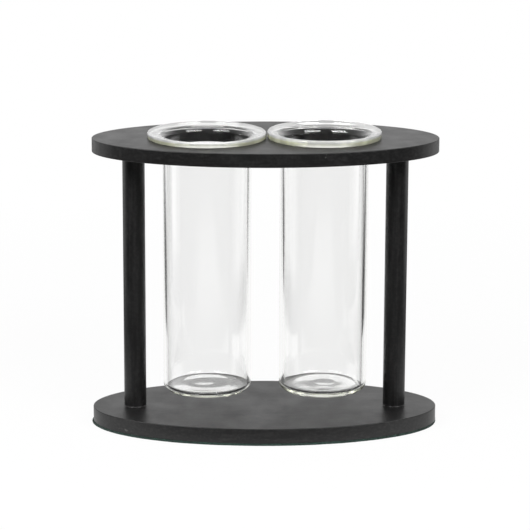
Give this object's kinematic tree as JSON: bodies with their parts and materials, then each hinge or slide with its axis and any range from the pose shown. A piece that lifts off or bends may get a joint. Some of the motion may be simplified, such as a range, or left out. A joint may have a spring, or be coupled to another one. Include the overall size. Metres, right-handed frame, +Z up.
{
  "type": "test tube vase",
  "caption": "Free-standing flower vase: clear glass tubes with wide lips hang in an oval black wooden board that round posts carry over a felt-lined oval base.",
  "frame": {"origin": "middle of the felt's underside, on the surface that the vase stands on", "axes": "+X along the length of the oval boards, +Y towards the back as pictured, +Z up"},
  "size_m": [0.1964, 0.096, 0.17],
  "materials": {
    "black_painted_wood": "matte black paint over sanded wood",
    "green_felt": "pressed felt",
    "zinc_plated_steel": "bright zinc plate",
    "clear_glass": "clear, fire-polished"
  },
  "bodies": {
    "stand": {"base_board": "black_painted_wood", "felt_pad": "green_felt", "post_left": "black_painted_wood", "post_right": "black_painted_wood", "top_board": "black_painted_wood", "base_screws": "zinc_plated_steel"},
    "tube_left": {"tube_left": "clear_glass"},
    "tube_right": {"tube_right": "clear_glass"}
  },
  "joints": [
    {"name": "tube_left_lift", "type": "slide", "parent": "stand", "child": "tube_left", "axis": [0, 0, 1], "range_m": [0, 0.16]},
    {"name": "tube_right_lift", "type": "slide", "parent": "stand", "child": "tube_right", "axis": [0, 0, 1], "range_m": [0, 0.16]}
  ]
}
